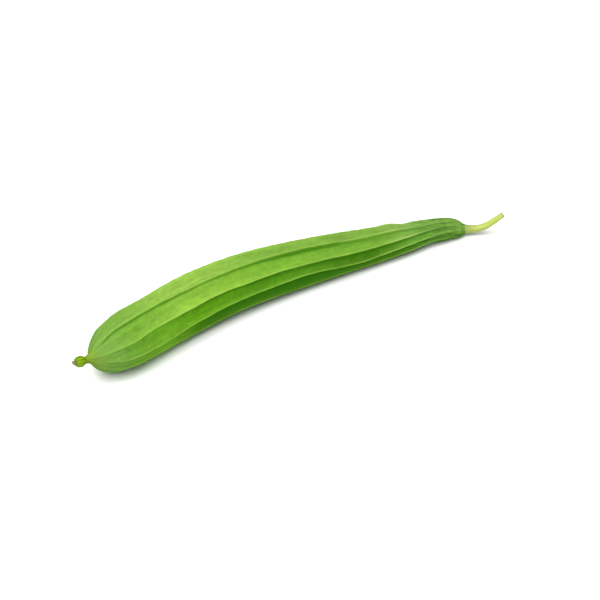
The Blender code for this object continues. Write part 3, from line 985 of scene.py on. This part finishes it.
cup_turn = -evenly_round(CUP_SIDES)  # backwards, since the knob grows outward
cup_share = np.linspace(-CUP_ROOT / CUP_LENGTH, 1, CUP_ROWS)[:, None]
creases = 1 - np.abs(np.sin(CUP_LOBES / 2 * cup_turn)) ** CREASE_POWER
lobing = -CUP_LOBE_DEPTH * creases * np.sin(np.pi * np.clip(cup_share, 0, 1)) ** LOBE_POWER
lobing = lobing + CUP_UNEVEN * waves(31, cup_share * CUP_LENGTH, cup_turn, CUP_UNEVEN_LENGTH)
cup_radii = along_table(CUP_PROFILE, np.maximum(cup_share, 0)) * (1 + lobing)
cup_rings = around_beak(GAP + cup_share * CUP_LENGTH + 0 * cup_turn, cup_radii, cup_turn)

fold = np.linspace(0, 1, HOLLOW_ROWS + 1)[1:, None] + 0 * cup_turn
rim = CUP_PROFILE[-1][1]
hollow_radii = rim + (HOLLOW_WIDTH - rim) * np.sin(fold * np.pi / 2)
hollow_out = (GAP + CUP_LENGTH + RIM_ROLL * np.sin(np.pi * np.minimum(fold / RIM_ROLLED_BY, 1))
              - HOLLOW_DEPTH * rise(fold, (HOLLOW_FROM, 1)))
hollow_rings = around_beak(hollow_out, hollow_radii * (1 + lobing[-1]), cup_turn)
knob_rings = np.vstack([cup_rings, hollow_rings])
knob_marks = {"along": np.vstack([cup_share + 0 * cup_turn, 1 + fold]),
              "crease": np.broadcast_to(creases, knob_rings.shape[:2])}
print("knob of", *knob_rings.shape[:2], "points, radii up to", *in_mm([cup_radii.max()]), "mm")

# %% The knob's finish
KNOB_COLOURS = (
    (0.0, (0.15, 0.22, 0.020)), (0.12, (0.11, 0.20, 0.002)), (0.35, (0.105, 0.20, 0.001)),
    (0.48, (0.09, 0.16, 0.001)), (0.56, (0.13, 0.14, 0.03)), (0.75, (0.06, 0.045, 0.02)),
    (1.0, (0.035, 0.025, 0.015)))
# Painted shade for the creases, and a painted highlight for the backs of the lobes
KNOB_PAINTED_SHADE_COLOUR, KNOB_PAINTED_HIGHLIGHT_COLOUR = (0.04, 0.105, 0.001), (0.26, 0.40, 0.004)


def knob_finish():
    """Bright green lobes with a painted highlight on their backs, painted shade in the creases, and a brown
    dry hollow at the end.
    """
    material, paint = new_finish("cup_skin")
    far, crease = paint.mark("along"), paint.mark("crease")
    blotch, fine = paint.spot().noise(700.0, 4.0), paint.spot().noise(2600.0, 2.0)
    fleshy = far.step(1.04, 0.96)
    colour = (far * 0.5).ramp(KNOB_COLOURS)
    # painted highlight on the backs of the lobes
    colour = colour.tint(KNOB_PAINTED_HIGHLIGHT_COLOUR, crease.step(0.35, 0.0) * 0.50 * fleshy)
    # painted shade in the creases
    colour = colour.tint(KNOB_PAINTED_SHADE_COLOUR, crease.step(0.3, 0.85) * 0.25 * fleshy)
    return close_finish(material, paint, {
        "Base Color": colour.times(0.75 + blotch * 0.5),
        "Roughness": 0.33 + blotch * 0.15 + far.step(0.9, 1.1) * 0.35,
        "Specular IOR Level": 0.10, "Normal": (blotch + fine * 0.4).bump(0.4, 0.0002)})


knob = closed_tube("green_knob", knob_rings, knob_marks)
place(knob, "cup_skin", knob_finish(), "calyx_cup")

# %% [markdown]
# ## Withered sepals and style
#
# Five sepals stand round the end of the knob, dried to thin olive-brown tongues that curl in over
# one another. Each is a flattened tube on a curling path, wrinkled lengthwise. Single sheets
# would be lighter, but they would show no edge. In the middle is the stub of the style, a thin
# peg with a shrivelled tip.

# %% Shape of a sepal
SEPALS, SEPAL_RING = 5, 0.0017
SEPAL_ROWS, SEPAL_SIDES = 36, 28
SEPAL_RUN, SEPAL_RUNS = 0.0040, (0.85, 1.1)  # length along its curl, and the factors drawn for it
SEPAL_LEAN, SEPAL_CURLS = -0.25, (1.2, 2.2)  # radians outward at the root, and then inward
SEPAL_HALF_WIDTH, SEPAL_TAPER = 0.00075, 0.75
SEPAL_HALF_THICKNESS, SEPAL_CUPPING = 0.00016, 0.45
SEPAL_ROOT = 0.0006  # how far it reaches into the hollow
SEPAL_REACH = 0.0027  # the furthest it may stand out of the knob
SEPAL_SWAY, SEPAL_RIPPLE = 0.00025, 0.12
SEPAL_WRINKLE, SEPAL_FINE_WRINKLE = 0.00006, 0.00004


def sepal_rings(number):
    """Rings of an ellipse on a path whose direction turns inward, cupped and wrinkled."""
    draw = np.random.default_rng(70 + number)
    turn = 2 * math.pi * number / SEPALS
    curl = draw.uniform(*SEPAL_CURLS)
    run = SEPAL_RUN * draw.uniform(*SEPAL_RUNS)
    end, outward, side, upward = beak_frame()
    radial = upward * math.cos(turn) + side * math.sin(turn)
    tangent = side * math.cos(turn) - upward * math.sin(turn)
    p = np.linspace(0, 1, SEPAL_ROWS)
    lean = SEPAL_LEAN + curl * p ** 1.6
    out = np.append(0, np.cumsum(np.cos(lean[1:]))) * run / SEPAL_ROWS
    away_by = -np.append(0, np.cumsum(np.sin(lean[1:]))) * run / SEPAL_ROWS
    out = np.minimum(out - SEPAL_ROOT, SEPAL_REACH)
    sway = SEPAL_SWAY * np.sin(p * draw.uniform(2, 4) + draw.uniform(0, 6)) * p
    start = end + outward * (2 * GAP + CUP_LENGTH) + radial * SEPAL_RING
    path = start + np.outer(out, outward) + np.outer(away_by, radial) + np.outer(sway, tangent)
    normal = np.outer(np.cos(lean), radial) + np.outer(np.sin(lean), outward)
    width = SEPAL_HALF_WIDTH * (1 - SEPAL_TAPER * p ** 1.5) * (1 + SEPAL_RIPPLE * np.sin(9 * p + number))
    width, p = width[:, None], p[:, None]
    round_it = evenly_round(SEPAL_SIDES)
    u = np.cos(round_it)
    wrinkle = SEPAL_WRINKLE * np.cos(7 * u + 3 * p + number) + SEPAL_FINE_WRINKLE * np.cos(17 * p + 4 * u)
    thick = SEPAL_HALF_THICKNESS * np.sin(round_it) - SEPAL_CUPPING * width * u ** 2 + wrinkle
    return path[:, None] + (width * u)[..., None] * tangent + thick[..., None] * normal[:, None]


print("a sepal of", *sepal_rings(0).shape[:2], "points")

# %% The dry finish and the sepals
DRY_COLOURS = (
    (0.0, (0.04, 0.045, 0.008)), (0.40, (0.13, 0.145, 0.025)), (0.65, (0.22, 0.24, 0.06)),
    (1.0, (0.34, 0.36, 0.14)))


def dry_finish(name, shift):
    """Olive and grey-brown patches with fine cracks, matt; a shift moves the pattern."""
    material, paint = new_finish(name)
    moved = paint.node("ShaderNodeMapping", inputs={"Vector": paint.spot(), "Location": (shift, shift, 0)})
    patch, crack = moved.noise(900.0, 4.0), moved.noise(3500.0, 3.0)
    return close_finish(material, paint, {
        "Base Color": (patch * 0.7 + crack * 0.35).ramp(DRY_COLOURS), "Roughness": 0.72 + crack * 0.2,
        "Specular IOR Level": 0.15, "Normal": (patch * 0.6 + crack).bump(0.6, 0.0002)})


dry_sepal = dry_finish("dry_flower", 0.0)
for number in range(SEPALS):
    sepal = closed_tube(f"withered_sepal_{number + 1}", sepal_rings(number))
    place(sepal, "dry_flower", dry_sepal, f"dry_sepal_{number + 1}")

# %% The stub of the style
STYLE_LENGTH, STYLE_RADIUS = 0.0026, 0.0006
STYLE_ROWS, STYLE_SIDES = 30, 20
STYLE_SHAPE = ((0.0, 1.0), (0.5, 0.8), (0.85, 1.0), (1.0, 0.55))
STYLE_UNEVEN, STYLE_UNEVEN_LENGTH = 0.10, 0.0012

style_share = np.linspace(0, 1, STYLE_ROWS)[:, None]
style_turn = -evenly_round(STYLE_SIDES)
style_waves = waves(81, style_share * STYLE_LENGTH, style_turn, STYLE_UNEVEN_LENGTH, 12)
style_radii = STYLE_RADIUS * along_table(STYLE_SHAPE, style_share) * (1 + STYLE_UNEVEN * style_waves)
style_out = 2 * GAP + CUP_LENGTH - HOLLOW_DEPTH + style_share * (STYLE_LENGTH + HOLLOW_DEPTH)
style = closed_tube("style_peg", around_beak(style_out + 0 * style_turn, style_radii, style_turn))
place(style, "dry_flower", dry_finish("dry_style", 0.01), "style_stub")

# %% [markdown]
# ## Sizes, and the end
#
# The looks must not outgrow the packed solids.
